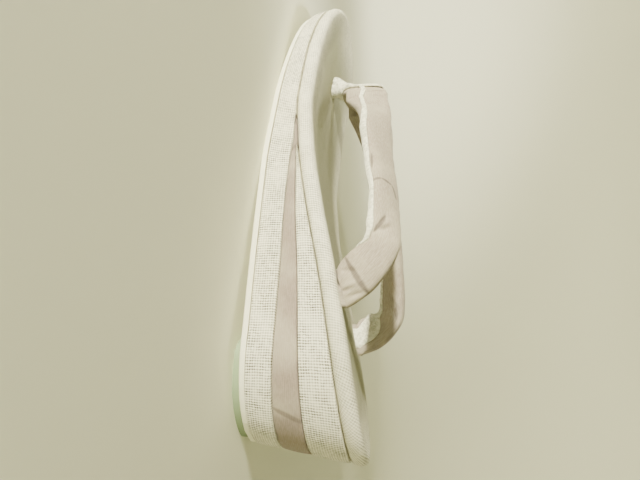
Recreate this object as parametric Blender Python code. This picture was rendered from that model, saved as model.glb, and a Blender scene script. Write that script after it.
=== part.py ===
# A zori: a wedge sole built up in cloth-covered layers, with a padded thong strap.
# Metres. +X is the toe, +Y the wearer's left, +Z up. The origin is on the floor, under the
# middle of the sole.

import math

import bpy
import numpy as np

# Driving sizes of the sole
LENGTH = 0.240
BALL_WIDTH = 0.082
SEAM_HEIGHT = 0.0423        # line under the top layer at the heel end, above the floor
TOP_THICKNESS = 0.0067
TOP_DISH = 0.0014           # how far the middle of the top layer lies below its rim
DISH_RIM = 0.0150           # from the top layer's edge to the bottom of the dish
EDGE_ROLL = 0.0032          # radius of the top layer's rolled edge
LAYER_ROLL = 0.0006         # rounding where cloth turns over a layer's edge
ROLL_PULL = 0.25            # middle ring of that rounding: shares of it inwards and along
ROLL_CLIMB = 0.35           # the layer's height
MOST_ROLL = 0.30            # the rounding's limit, as a share of a thinning layer
BAND_HEEL_THICKNESS = 0.0109
BAND_END = 0.565            # share of the length where the band layer runs out
WEDGE_HEEL_THICKNESS = 0.0142
WEDGE_END = 0.49            # share of the length where the woven wedge runs out
THINNING = 1.12             # power of the fall in both thicknesses: 1 is a straight line
THIN_END = 0.0006           # thickness at which a wedge is cut off
OUTSOLE_THICKNESS = 0.0024
OUTSOLE_EDGE = 0.0005       # bevel of the outsole's lower edge
NARROW_END = 0.012          # half width below which an inset shrinks with the sole's width
WALL_INSET = 0.0005         # the layers' walls, in from the top layer's edge
SIDE_TAPER = 0.0014         # how far the walls draw in from the seam line to the floor
END_TAPER = 0.0042          # the same at the heel and toe ends
TOE_SPRING = 0.0104
SPRING_START = 0.62         # share of the length where the toe starts to lift
FLAT_START = 0.47           # share of the length where the forefoot meets the floor
LIFT_THICKNESS = 0.0030
LIFT_START = 0.0060         # from the heel end
LIFT_LENGTH = 0.0325
LIFT_INSET = 0.0052         # in from the outsole's side
LIFT_CORNER = 0.009
FIT_GAP = 0.0003            # between pieces that meet

# Driving sizes of the strap and the toe thong
STRAP_WIDTH = 0.0185
STRAP_THICKNESS = 0.0074
STRAP_HEIGHT = 0.0270       # highest line of the strap's middle, above the sole
STRAP_INSET = 0.0085        # from the sole's side at the ball in to the strap at its bend
TIP_TURN = 0.0044           # radius of the strap's turn at the toe, to its middle
THONG_LENGTH = 0.0140       # along the shoe, at the hole
THONG_WIDTH = 0.0092
THONG_WALL = 0.0016         # cloth of the thong over the strap's toe turn
THONG_EDGE = 0.12           # share of that wall left at the thong's side edges
ROOT_DEPTH = 0.80           # how deep strap and thong go, as a share of the top layer

SHARP_ANGLE = 40.0          # degrees between faces from which an edge is drawn sharp
OUTLINE_STEPS = 40          # stations from heel to toe
END_CROWDING = 0.7          # how strongly the stations crowd towards the ends, 0 to 1
STRAP_STEPS = 34            # sections from a hole to the toe turn
TIP_STEPS = 6               # sections on each half of the toe turn
STRAP_SIDES = 20            # points around a strap section
THONG_SIDES = 24
THONG_LEVELS = 14           # rings of the thong above its mouth

# The sole's outline: width as a share of the ball width, at shares of the length
OUTLINE = (
    # along, width
    (0.000, 0.700),
    (0.120, 0.760),
    (0.220, 0.838),
    (0.350, 0.922),
    (0.500, 0.985),
    (0.640, 1.000),
    (0.760, 0.960),
    (0.860, 0.905),
    (1.000, 0.860),
)
HEEL_ROUND = 0.150          # share of the length taken by the round of the heel
HEEL_POWER = 2.0
TOE_ROUND = 0.190
TOE_POWER = 2.15

# The line under the top layer: height as a share of the seam height
PROFILE = (
    # along, height
    (0.000, 1.000),
    (0.120, 0.866),
    (0.250, 0.697),
    (0.380, 0.500),
    (0.500, 0.350),
    (0.620, 0.268),
    (0.740, 0.268),
    (0.860, 0.318),
    (0.940, 0.378),
    (1.000, 0.415),
)

# The strap's middle line from a rear hole to the toe turn: place along the shoe as a share
# of the length, then shares of the spread, height, width and thickness. Swing, in degrees,
# is the slope of a section's width from the toe direction: flat in the hole, upright along
# the foot. Lean, in degrees, tips the cloth face upwards.
STRAP = (
    # along, out, rise, swing, width, thickness, lean
    (0.233, 0.870, 0.040, 166.0, 0.810, 0.840, 0.0),
    (0.241, 0.900, 0.135, 158.0, 0.880, 0.920, 0.0),
    (0.256, 0.960, 0.325, 146.0, 0.920, 1.000, 2.0),
    (0.275, 1.010, 0.500, 136.0, 0.900, 1.000, 5.0),
    (0.298, 1.030, 0.670, 122.0, 0.850, 1.000, 14.0),
    (0.326, 1.000, 0.765, 105.0, 0.850, 1.000, 30.0),
    (0.361, 0.950, 0.840, 94.0, 0.870, 1.000, 44.0),
    (0.435, 0.790, 0.960, 90.0, 0.880, 1.000, 52.0),
    (0.521, 0.610, 1.000, 90.0, 0.900, 1.000, 52.0),
    (0.610, 0.440, 0.980, 90.0, 0.940, 0.970, 44.0),
    (0.667, 0.325, 0.910, 90.0, 1.020, 0.950, 32.0),
    (0.700, 0.245, 0.830, 90.0, 1.100, 0.920, 18.0),
    (0.733, 0.175, 0.720, 90.0, 1.200, 0.880, 5.0),
)
TIP_RISE = 0.620            # the toe turn's middle, as a share of the strap height
TIP_WIDTH = 1.270
TIP_THICKNESS = 0.870
TIP_PLACE = 0.7575          # share of the length where the toe turn is centred
STRAP_POWER = 2.6           # squareness of the strap's section

# The toe thong above its hole: height as a share of the strap height, how far its front
# stands out from the strap's toe turn as a share of its length, and its half angle about
# the turn in degrees
THONG = (
    # rise, reach, angle
    (0.000, 0.800, 22.0),
    (0.075, 0.680, 27.0),
    (0.160, 0.520, 33.0),
    (0.260, 0.350, 41.0),
    (0.360, 0.220, 48.0),
    (0.480, 0.140, 50.0),
    (0.700, 0.125, 46.0),
    (0.900, 0.120, 42.0),
    (0.990, 0.110, 34.0),
)


def make_material(name, colour, roughness):
    material = bpy.data.materials.new(name)
    material.use_nodes = True
    shader = material.node_tree.nodes["Principled BSDF"]
    shader.inputs["Base Color"].default_value = (*colour, 1.0)
    shader.inputs["Roughness"].default_value = roughness
    shader.inputs["Metallic"].default_value = 0.0
    material.diffuse_color = (*colour, 1.0)
    return material


def smooth_curve(places, values, at):
    """Curve through values at places without overshoot: cubic pieces whose slope at each
    place is the harmonic mean of the slopes beside it, and nought at a peak or dip."""
    x = np.array(places, dtype=float)
    y = np.array(values, dtype=float)
    step = np.diff(x)
    slope = np.diff(y) / step
    tangent = np.zeros(len(x))
    same_way = slope[:-1] * slope[1:] > 0
    inner = np.zeros(len(x) - 2)
    before = slope[:-1][same_way]
    after = slope[1:][same_way]
    inner[same_way] = 2 * before * after / (before + after)
    tangent[1:-1] = inner
    tangent[0] = slope[0]
    tangent[-1] = slope[-1]
    at = np.clip(np.asarray(at, dtype=float), x[0], x[-1])
    i = np.clip(np.searchsorted(x, at, side="right") - 1, 0, len(step) - 1)
    t = (at - x[i]) / step[i]
    return (
        y[i] * (1 + 2 * t) * (1 - t) ** 2
        + y[i + 1] * t ** 2 * (3 - 2 * t)
        + tangent[i] * step[i] * t * (1 - t) ** 2
        - tangent[i + 1] * step[i] * t ** 2 * (1 - t)
    )


def table_curve(table, column, along):
    """Smooth curve through one column of a table whose first column is the place."""
    return smooth_curve([row[0] for row in table], [row[column] for row in table], along)


def row_curve(table, column, place):
    """Smooth curve through one column, with the row number as the place."""
    return smooth_curve(range(len(table)), [row[column] for row in table], place)


def end_round(distance, reach, power):
    """Rise from 0 at an end to 1 at its reach, along a quarter of a superellipse."""
    inner = 1 - np.clip(distance / reach, 0, 1)
    return (1 - inner ** power) ** (1 / power)


def half_width(along):
    """Half the sole's width at a share of its length."""
    width = table_curve(OUTLINE, 1, along) * BALL_WIDTH / 2
    heel = end_round(along, HEEL_ROUND, HEEL_POWER)
    toe = end_round(1 - np.asarray(along), TOE_ROUND, TOE_POWER)
    return width * heel * toe


def seam_height(along):
    """The line under the top layer."""
    return table_curve(PROFILE, 1, along) * SEAM_HEIGHT


def sole_bottom(along):
    """Over the lift at the heel, down to the floor at the ball, and up at the toe."""
    heel = LIFT_THICKNESS + FIT_GAP
    lift_end = (LIFT_START + LIFT_LENGTH) / LENGTH
    down = heel * (1 - np.clip((along - lift_end) / (FLAT_START - lift_end), 0, 1))
    up = np.clip((along - SPRING_START) / (1 - SPRING_START), 0, 1)
    return down + TOE_SPRING * up ** 2


def outsole_top(along):
    return sole_bottom(along) + OUTSOLE_THICKNESS


def lower_bottom(along):
    return outsole_top(along) + FIT_GAP


def thinning(along, end):
    """Share of a wedge's heel thickness that is left at a share of the length."""
    return 1 - (np.asarray(along) / end) ** THINNING


def thin_cut(end, thickness):
    """Share of the length where a wedge of this heel thickness is down to its thin end."""
    return end * (1 - THIN_END / thickness) ** (1 / THINNING)


def wedge_bottom(along):
    """The woven wedge thins from the heel end to where it runs out."""
    return seam_height(along) - WEDGE_HEEL_THICKNESS * thinning(along, WEDGE_END)


def band_top(along):
    return np.minimum(seam_height(along), wedge_bottom(along) - FIT_GAP)


def band_bottom(along):
    return band_top(along) - BAND_HEEL_THICKNESS * thinning(along, BAND_END)


def lower_top(along):
    return np.minimum(seam_height(along), band_bottom(along) - FIT_GAP)


def top_bottom(along):
    return seam_height(along) + FIT_GAP


def sole_top(along):
    return top_bottom(along) + TOP_THICKNESS


def draw_in(along, height):
    """Share of the taper at a height: 0 at the seam line, 1 at the sole's bottom."""
    seam = seam_height(along)
    return np.clip((seam - height) / (seam - sole_bottom(along)), 0, 1)


def ring_points(start, end, height, inset, pull):
    """Closed ring on the sole's outline between two shares of its length: heel end, left
    side, toe end, right side. Stations crowd towards the ends. The walls draw in by the
    taper, the inset and the pull; height gives a ring's height at a share."""
    turn = np.linspace(0, math.pi, OUTLINE_STEPS + 1)
    even = np.linspace(0, 1, OUTLINE_STEPS + 1)
    crowded = END_CROWDING * (0.5 - 0.5 * np.cos(turn)) + (1 - END_CROWDING) * even
    along = start + crowded * (end - start)
    taper = draw_in(along, height(along))
    shortened = (inset + pull + taper * END_TAPER) / (LENGTH / 2)
    drawn = 0.5 + (along - 0.5) * (1 - shortened)
    if end < 1:
        drawn = drawn - (pull / LENGTH) * (along - start) / (end - start)
    width = half_width(along)
    near_end = np.minimum(1, width / NARROW_END)
    width = width - (inset + pull + taper * SIDE_TAPER) * near_end
    x = (drawn - 0.5) * LENGTH
    z = height(drawn)
    left = np.column_stack([x, width, z])
    blunt = end < 1
    back = left[:0:-1] if blunt else left[-2:0:-1]
    right = back * np.array([1.0, -1.0, 1.0])
    return np.vstack([left, right])


def ladder_cap(first, count, flip):
    """Cap of a ring that is the same left and right: rungs straight across it."""
    faces = []
    for i in range((count + 1) // 2):
        corners = [i, i + 1, count - i - 1, (count - i) % count]
        unique = list(dict.fromkeys(corners))
        if len(unique) < 3:
            continue
        face = [first + corner for corner in unique]
        if flip:
            face.reverse()
        faces.append(tuple(face))
    return faces


def wall_faces(rings, count, flip):
    faces = []
    for ring in range(rings - 1):
        lower = ring * count
        upper = lower + count
        for i in range(count):
            j = (i + 1) % count
            face = (lower + i, lower + j, upper + j, upper + i)
            faces.append(face[::-1] if flip else face)
    return faces


def add_object(name, points, faces, material):
    mesh = bpy.data.meshes.new(name)
    mesh.from_pydata([tuple(point) for point in points], [], faces)
    mesh.materials.append(material)
    mesh.shade_smooth()
    mesh.set_sharp_from_angle(angle=math.radians(SHARP_ANGLE))
    item = bpy.data.objects.new(name, mesh)
    bpy.context.collection.objects.link(item)
    return item


def tube_faces(loops, flip):
    """Walls between the loops of a tube and a flat cap on each end."""
    count = len(loops[0])
    first = tuple(range(count))
    last = tuple((len(loops) - 1) * count + i for i in range(count))
    caps = [first, last[::-1]] if flip else [first[::-1], last]
    return wall_faces(len(loops), count, flip) + caps


def stacked_layer(name, start, end, inset, rings, material):
    """A sole layer from its rings, listed from the bottom up as (pull, height)."""
    loops = [ring_points(start, end, height, inset, pull) for pull, height in rings]
    count = len(loops[0])
    faces = wall_faces(len(loops), count, True)
    faces += ladder_cap(0, count, False)
    faces += ladder_cap((len(loops) - 1) * count, count, True)
    return add_object(name, np.vstack(loops), faces, material)


def cloth_layer(name, end, inset, bottom, top, material):
    """A layer whose cloth turns over its upper and lower edges with a small rounding."""

    def between(from_top, most):
        def height(along):
            thickness = top(along) - bottom(along)
            step = np.minimum(most, MOST_ROLL * thickness)
            return top(along) - step if from_top else bottom(along) + step
        return height

    rings = (
        (LAYER_ROLL, bottom),
        (ROLL_PULL * LAYER_ROLL, between(False, ROLL_CLIMB * LAYER_ROLL)),
        (0.0, between(False, LAYER_ROLL)),
        (0.0, between(True, LAYER_ROLL)),
        (ROLL_PULL * LAYER_ROLL, between(True, ROLL_CLIMB * LAYER_ROLL)),
        (LAYER_ROLL, top),
    )
    return stacked_layer(name, 0.0, end, inset, rings, material)


def rolled_top(material):
    """The padded top layer: its edge is rolled over a round at the top and the bottom, and
    its middle is a shallow dish."""
    rings = []
    turns = (0, 30, 60, 90)
    for turn in turns:
        angle = math.radians(turn)
        pull = EDGE_ROLL * (1 - math.sin(angle))
        climb = EDGE_ROLL * (1 - math.cos(angle))
        rings.append((pull, lambda along, climb=climb: top_bottom(along) + climb))
    for turn in reversed(turns):
        angle = math.radians(turn)
        pull = EDGE_ROLL * (1 - math.sin(angle))
        climb = EDGE_ROLL * (1 - math.cos(angle))
        rings.append((pull, lambda along, climb=climb: sole_top(along) - climb))
    for share in (0.5, 1.0):
        pull = EDGE_ROLL + share * (DISH_RIM - EDGE_ROLL)
        dip = TOP_DISH * share * (2 - share)
        rings.append((pull, lambda along, dip=dip: sole_top(along) - dip))
    return stacked_layer("top_layer", 0.0, 1.0, 0.0, rings, material)


def heel_lift(material):
    """A flat rubber pad with the outline of the heel and two rounded front corners."""
    along_start = LIFT_START / LENGTH
    along_end = (LIFT_START + LIFT_LENGTH) / LENGTH
    steps = np.linspace(0, 1, OUTLINE_STEPS + 1)
    share = 0.5 - 0.5 * np.cos(math.pi * steps)
    x = LIFT_START + share * LIFT_LENGTH
    side = half_width(x / LENGTH) - WALL_INSET - SIDE_TAPER - LIFT_INSET
    first = half_width(along_start) - WALL_INSET - SIDE_TAPER - LIFT_INSET
    from_start = end_round(share * LIFT_LENGTH, 0.5 * LIFT_LENGTH, 2.0)
    side = side - first * (1 - from_start)
    corner = np.clip((share * LIFT_LENGTH - (LIFT_LENGTH - LIFT_CORNER)) / LIFT_CORNER, 0, 1)
    side = side - LIFT_CORNER * (1 - np.sqrt(1 - corner ** 2))
    left = np.column_stack([x - LENGTH / 2, np.maximum(side, 0.0)])
    left[0, 1] = 0.0
    right = left[:0:-1] * np.array([1.0, -1.0])
    ring = np.vstack([left, right])
    levels = (0.0, LIFT_THICKNESS)
    points = [(x, y, z) for z in levels for x, y in ring]
    count = len(ring)
    faces = wall_faces(2, count, True)
    faces += ladder_cap(0, count, False)
    faces += ladder_cap(count, count, True)
    return add_object("heel_lift", points, faces, material)


def strap_spread():
    """From the centre line to the strap at its bend."""
    return BALL_WIDTH / 2 - STRAP_INSET


def strap_path():
    """Middle line and section sizes of the left arm, from its hole to the middle of the
    toe turn. Each row: position, outward direction, width, thickness, swing, lean."""
    rows = []
    last = len(STRAP) - 1
    for place in np.linspace(0, last, STRAP_STEPS + 1):
        along = float(row_curve(STRAP, 0, place))
        out = float(row_curve(STRAP, 1, place)) * strap_spread()
        rise = float(row_curve(STRAP, 2, place)) * STRAP_HEIGHT
        swing = math.radians(float(row_curve(STRAP, 3, place)))
        width = float(row_curve(STRAP, 4, place)) * STRAP_WIDTH
        thickness = float(row_curve(STRAP, 5, place)) * STRAP_THICKNESS
        lean = math.radians(float(row_curve(STRAP, 6, place)))
        position = ((along - 0.5) * LENGTH, out, float(sole_top(along)) + rise)
        rows.append((position, (0.0, 1.0, 0.0), width, thickness, swing, lean))
    start = rows[-1]
    base = float(sole_top(TIP_PLACE))
    centre_x = (TIP_PLACE - 0.5) * LENGTH
    for step in range(1, TIP_STEPS + 1):
        share = step / TIP_STEPS
        turn = 0.5 * math.pi * share
        ease = share * (2 - share)
        rise = TIP_RISE * STRAP_HEIGHT
        height = start[0][2] + (base + rise - start[0][2]) * ease
        x = centre_x + TIP_TURN * math.sin(turn)
        y = TIP_TURN * math.cos(turn)
        width = start[2] + (TIP_WIDTH * STRAP_WIDTH - start[2]) * ease
        thickness = start[3] + (TIP_THICKNESS * STRAP_THICKNESS - start[3]) * ease
        lean = start[5] * (1 - ease)
        outward = (math.sin(turn), math.cos(turn), 0.0)
        rows.append(((x, y, height), outward, width, thickness, start[4], lean))
    return rows


def root_loop(loop):
    """A copy of a loop pushed down into its hole, parallel to the top layer's faces."""
    root = loop.copy()
    root[:, 2] = sole_top(root[:, 0] / LENGTH + 0.5) - ROOT_DEPTH * TOP_THICKNESS
    return root


def section_loop(position, direction, outward, width, thickness, swing, lean):
    """Rounded flat section of the padded strap. Its face is square to the direction and its
    width follows the swing."""
    outward = np.array(outward)
    outward = outward - direction * outward.dot(direction)
    outward /= np.linalg.norm(outward)
    upward = np.array([math.cos(swing), 0.0, math.sin(swing)])
    upward = upward - outward * upward.dot(outward)
    upward /= np.linalg.norm(upward)
    face = outward * math.cos(lean) + upward * math.sin(lean)
    edge = upward * math.cos(lean) - outward * math.sin(lean)
    turn = np.linspace(0, 2 * math.pi, STRAP_SIDES, endpoint=False)
    across = np.sign(np.cos(turn)) * np.abs(np.cos(turn)) ** (2 / STRAP_POWER)
    through = np.sign(np.sin(turn)) * np.abs(np.sin(turn)) ** (2 / STRAP_POWER)
    loop = np.outer(across, edge) * width / 2 + np.outer(through, face) * thickness / 2
    return np.array(position) + loop


def strap(material):
    """Both arms as one padded tube: hole, bend, toe turn, and the same on the right."""
    half = strap_path()
    places = np.array([row[0] for row in half])
    whole = np.vstack([places, (places * np.array([1.0, -1.0, 1.0]))[-2::-1]])
    direction = np.gradient(whole, axis=0)
    loops = []
    for index, row in enumerate(half):
        position, outward, width, thickness, swing, lean = row
        forward = direction[index] / np.linalg.norm(direction[index])
        if index == 0:
            forward = np.array([0.0, 0.0, 1.0])
        loops.append(section_loop(position, forward, outward, width, thickness, swing, lean))
    loops.insert(0, root_loop(loops[0]))
    mirrored = [loop * np.array([1.0, -1.0, 1.0]) for loop in loops[-2::-1]]
    loops += mirrored
    return add_object("strap", np.vstack(loops), tube_faces(loops, True), material)


def thong_hole_x():
    """Centre of the toe hole: the thong's front reach, less half its length."""
    front = TIP_PLACE * LENGTH + TIP_TURN + TIP_THICKNESS * STRAP_THICKNESS / 2 + FIT_GAP
    return front + THONG[0][1] * THONG_LENGTH - THONG_LENGTH / 2 - LENGTH / 2


def under_turn():
    """Height above the floor of the underside of the strap's toe turn."""
    middle = float(sole_top(TIP_PLACE)) + TIP_RISE * STRAP_HEIGHT
    return middle - TIP_WIDTH * STRAP_WIDTH / 2


def oval(centre_x, centre_y, length, width, height, sides):
    turn = np.linspace(0, 2 * math.pi, sides, endpoint=False) + math.pi / 2
    x = centre_x + np.cos(turn) * length / 2
    y = centre_y + np.sin(turn) * width / 2
    return np.column_stack([x, y, np.full(sides, height)])


def toe_thong(material):
    """Velvet thong: an oval stem out of the toe hole that spreads round the front of the
    strap's toe turn. Its back follows the turn with a clearance."""
    hole_x = thong_hole_x()
    base = float(sole_top(hole_x / LENGTH + 0.5))
    centre_x = (TIP_PLACE - 0.5) * LENGTH
    widest = TIP_TURN + TIP_THICKNESS * STRAP_THICKNESS / 2 + FIT_GAP
    stem = hole_x - THONG_LENGTH / 2 - centre_x
    mouth = oval(hole_x, 0.0, THONG_LENGTH, THONG_WIDTH, base, THONG_SIDES)
    loops = [root_loop(mouth), mouth]
    half = THONG_SIDES // 2
    places = np.linspace(THONG[1][0], THONG[-1][0], THONG_LEVELS)
    for rise in places:
        height = base + rise * STRAP_HEIGHT
        climb = np.clip((height - base) / (under_turn() - 2 * FIT_GAP - base), 0, 1)
        inner = stem + (widest - stem) * climb ** 2
        reach = float(table_curve(THONG, 1, rise)) * THONG_LENGTH
        outer = max(widest + reach, inner + THONG_WALL)
        spread = math.radians(float(table_curve(THONG, 2, rise)))
        back_turn = np.linspace(spread, -spread, half, endpoint=False)
        front_turn = np.linspace(-spread, spread, half, endpoint=False)
        wall = outer - inner
        bulge = np.sqrt(np.clip(1 - (front_turn / spread) ** 2, 0, 1))
        front_radius = inner + wall * np.maximum(bulge, THONG_EDGE)
        back = np.column_stack([np.cos(back_turn), np.sin(back_turn)]) * inner
        front = np.column_stack([np.cos(front_turn), np.sin(front_turn)])
        front = front * front_radius[:, None]
        ring = np.vstack([back, front]) + np.array([centre_x, 0.0])
        loops.append(np.column_stack([ring, np.full(THONG_SIDES, height)]))
    return add_object("toe_thong", np.vstack(loops), tube_faces(loops, False), material)


def hole_cutter(name, rings, flip):
    mesh = bpy.data.meshes.new(name)
    points = [tuple(point) for point in np.vstack(rings)]
    mesh.from_pydata(points, [], tube_faces(rings, flip))
    cutter = bpy.data.objects.new(name, mesh)
    cutter.hide_render = True
    cutter.display_type = "WIRE"
    bpy.context.collection.objects.link(cutter)
    return cutter


def cut_hole(item, cutter):
    cut = item.modifiers.new(cutter.name, "BOOLEAN")
    cut.operation = "DIFFERENCE"
    cut.solver = "EXACT"
    cut.object = cutter


def strap_hole(side):
    """Cutter for one rear hole: the strap's section at its mouth, with a clearance."""
    row = STRAP[0]
    x = (row[0] - 0.5) * LENGTH
    y = side * row[1] * strap_spread()
    width = row[4] * STRAP_WIDTH + 2 * FIT_GAP
    thickness = row[5] * STRAP_THICKNESS + 2 * FIT_GAP
    low = float(top_bottom(row[0])) - TOP_THICKNESS
    high = float(sole_top(row[0])) + TOP_THICKNESS
    up = np.array([0.0, 0.0, 1.0])
    outward = (0.0, 1.0, 0.0)
    swing = math.radians(row[3])
    rings = [
        section_loop((x, y, z), up, outward, width, thickness, swing, 0.0)
        for z in (low, high)
    ]
    name = "left_hole_cutter" if side > 0 else "right_hole_cutter"
    return hole_cutter(name, rings, True)


def thong_hole():
    x = thong_hole_x()
    along = x / LENGTH + 0.5
    length = THONG_LENGTH + 2 * FIT_GAP
    width = THONG_WIDTH + 2 * FIT_GAP
    low = float(top_bottom(along)) - TOP_THICKNESS
    high = float(sole_top(along)) + TOP_THICKNESS
    rings = [oval(x, 0.0, length, width, z, THONG_SIDES) for z in (low, high)]
    return hole_cutter("toe_hole_cutter", rings, False)


def main():
    for item in list(bpy.data.objects):
        bpy.data.objects.remove(item, do_unlink=True)

    rubber_green = make_material("green_rubber", (0.38, 0.46, 0.33), 0.60)
    cream_rubber = make_material("cream_rubber", (0.86, 0.84, 0.62), 0.50)
    woven = make_material("woven_cream", (0.82, 0.80, 0.68), 0.85)
    mauve = make_material("mauve_crepe", (0.56, 0.50, 0.43), 0.80)
    velvet = make_material("white_velvet", (0.88, 0.88, 0.82), 0.95)

    heel_lift(rubber_green)
    stacked_layer(
        "outsole", 0.0, 1.0, WALL_INSET,
        (
            (OUTSOLE_EDGE, sole_bottom),
            (0.0, lambda along: sole_bottom(along) + OUTSOLE_EDGE),
            (0.0, outsole_top),
        ),
        cream_rubber,
    )
    wedge_cut = thin_cut(WEDGE_END, WEDGE_HEEL_THICKNESS)
    band_cut = thin_cut(BAND_END, BAND_HEEL_THICKNESS)
    cloth_layer("lower_layer", 1.0, WALL_INSET, lower_bottom, lower_top, woven)
    cloth_layer("band_layer", band_cut, WALL_INSET, band_bottom, band_top, mauve)
    cloth_layer("wedge_layer", wedge_cut, WALL_INSET, wedge_bottom, seam_height, woven)
    top_layer = rolled_top(woven)
    for cutter in (strap_hole(1), strap_hole(-1), thong_hole()):
        cut_hole(top_layer, cutter)
    strap(mauve)
    toe_thong(velvet)


main()
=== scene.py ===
import math
from functools import partialmethod

import bpy
import numpy as np
from mathutils import Matrix, Vector


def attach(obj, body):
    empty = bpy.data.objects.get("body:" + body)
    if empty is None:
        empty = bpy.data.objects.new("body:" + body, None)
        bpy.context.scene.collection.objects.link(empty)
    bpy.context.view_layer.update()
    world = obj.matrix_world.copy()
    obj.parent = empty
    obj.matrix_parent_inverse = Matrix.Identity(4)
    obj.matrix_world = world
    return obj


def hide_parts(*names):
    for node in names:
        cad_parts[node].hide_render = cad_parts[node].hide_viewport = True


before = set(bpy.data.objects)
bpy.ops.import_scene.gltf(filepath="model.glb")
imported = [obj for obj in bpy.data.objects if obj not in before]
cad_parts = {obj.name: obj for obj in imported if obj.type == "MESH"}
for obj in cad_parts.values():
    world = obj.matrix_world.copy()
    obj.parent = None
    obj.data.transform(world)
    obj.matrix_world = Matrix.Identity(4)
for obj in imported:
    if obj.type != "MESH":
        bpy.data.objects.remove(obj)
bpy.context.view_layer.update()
print("zori: frame loaded")

# Sizes that every piece shares, in metres. +X is the toe, +Y the wearer's left, +Z up.
sole = {
    "length": 0.240,
    "ballWidth": 0.082,
    "seamHeight": 0.0423,  # line under the top layer at the heel end
    "topThickness": 0.0067,
    "wedgeHeel": 0.0142,  # thickness of the woven wedge at the heel end
    "wedgeEnd": 0.49,  # share of the length where it runs out
    "bandHeel": 0.0109,
    "bandEnd": 0.565,
    "thinning": 1.12,  # power of the fall in both thicknesses
    "outsoleThickness": 0.0024,
    "liftThickness": 0.0030,
    "liftStart": 0.0060,
    "liftLength": 0.0325,
    "toeSpring": 0.0104,
    "springStart": 0.62,
    "flatStart": 0.47,
    "wallInset": 0.0005,
    "sideTaper": 0.0014,  # how far the walls draw in towards the floor
    "endTaper": 0.0042,
    "fitGap": 0.0003,
    "heelRound": 0.150,
    "heelPower": 2.0,
    "toeRound": 0.190,
    "toePower": 2.15,
}
outline = {
    "along": (0, 0.12, 0.22, 0.35, 0.5, 0.64, 0.76, 0.86, 1),
    "width": (0.7, 0.76, 0.838, 0.922, 0.985, 1, 0.96, 0.905, 0.86),
}
profile = {
    "along": (0, 0.12, 0.25, 0.38, 0.5, 0.62, 0.74, 0.86, 0.94, 1),
    "height": (1, 0.866, 0.697, 0.5, 0.35, 0.268, 0.268, 0.318, 0.378, 0.415),
}


def smoothCurve(places, values, at):
    # cubic pieces; the slope at a place is the harmonic mean of the slopes beside it
    x = np.array(places, dtype=float)
    y = np.array(values, dtype=float)
    step = np.diff(x)
    slope = np.diff(y) / step
    tangent = np.zeros(len(x))
    before, after = slope[:-1], slope[1:]
    sameWay = before * after > 0
    total = np.where(sameWay, before + after, 1)
    tangent[1:-1] = np.where(sameWay, 2 * before * after / total, 0)
    tangent[0], tangent[-1] = slope[0], slope[-1]
    at = np.clip(np.asarray(at, dtype=float), x[0], x[-1])
    i = np.clip(np.searchsorted(x, at, side="right") - 1, 0, len(step) - 1)
    t = (at - x[i]) / step[i]
    start = y[i] * (1 + 2 * t) * (1 - t) ** 2 + tangent[i] * step[i] * t * (1 - t) ** 2
    end = y[i + 1] * t ** 2 * (3 - 2 * t) - tangent[i + 1] * step[i] * t ** 2 * (1 - t)
    return start + end


def smoothStep(low, high, value):
    t = np.clip((value - low) / (high - low), 0, 1)
    return t * t * (3 - 2 * t)


def endRound(distance, reach, power):
    # a quarter of a superellipse: 0 at the end, 1 from its reach on
    inner = 1 - np.clip(distance / reach, 0, 1)
    return (1 - inner ** power) ** (1 / power)


def halfWidth(along):
    # the width table, times the rounds of the heel and the toe
    width = smoothCurve(outline["along"], outline["width"], along) * sole["ballWidth"] / 2
    heel = endRound(along, sole["heelRound"], sole["heelPower"])
    toe = endRound(1 - along, sole["toeRound"], sole["toePower"])
    return width * heel * toe


def seamHeight(along):
    return smoothCurve(profile["along"], profile["height"], along) * sole["seamHeight"]


def soleBottom(along):
    # down from the heel lift to the floor at the ball, then a parabola up to the toe
    liftEnd = (sole["liftStart"] + sole["liftLength"]) / sole["length"]
    share = np.clip((along - liftEnd) / (sole["flatStart"] - liftEnd), 0, 1)
    up = np.clip((along - sole["springStart"]) / (1 - sole["springStart"]), 0, 1)
    return (sole["liftThickness"] + sole["fitGap"]) * (1 - share) + sole["toeSpring"] * up ** 2


def lowerBottom(along):
    return soleBottom(along) + sole["outsoleThickness"] + sole["fitGap"]


def thinning(along, end):
    # 1 at the heel, falling with a power of the share to 0 at the wedge's end
    return 1 - (along / end) ** sole["thinning"]


def wedgeBottom(along):
    return seamHeight(along) - sole["wedgeHeel"] * thinning(along, sole["wedgeEnd"])


def bandTop(along):
    return np.minimum(seamHeight(along), wedgeBottom(along) - sole["fitGap"])


def bandBottom(along):
    return bandTop(along) - sole["bandHeel"] * thinning(along, sole["bandEnd"])


def lowerTop(along):
    return np.minimum(seamHeight(along), bandBottom(along) - sole["fitGap"])


def topBottom(along):
    return seamHeight(along) + sole["fitGap"]


def soleTop(along):
    return topBottom(along) + sole["topThickness"]


def shareAt(x):
    return np.asarray(x) / sole["length"] + 0.5


def placeAt(along):
    return (along - 0.5) * sole["length"]


def outlineRing(sideSteps, end):
    # the outline from the heel's middle up the left side and back down the right, with its
    # outward normals; stations are even in the angle whose cosine gives the place
    turn = np.linspace(0, math.pi, sideSteps + 1)
    along = end * (0.5 - 0.5 * np.cos(turn))
    left = np.column_stack([placeAt(along), halfWidth(along)])
    back = left[:0:-1] if end < 1 else left[-2:0:-1]
    ring = np.vstack([left, back * (1, -1)])
    tangent = np.roll(ring, -1, axis=0) - np.roll(ring, 1, axis=0)
    normal = np.column_stack([-tangent[:, 1], tangent[:, 0]])
    normal /= np.linalg.norm(normal, axis=1)[:, None]
    return ring, normal


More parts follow.
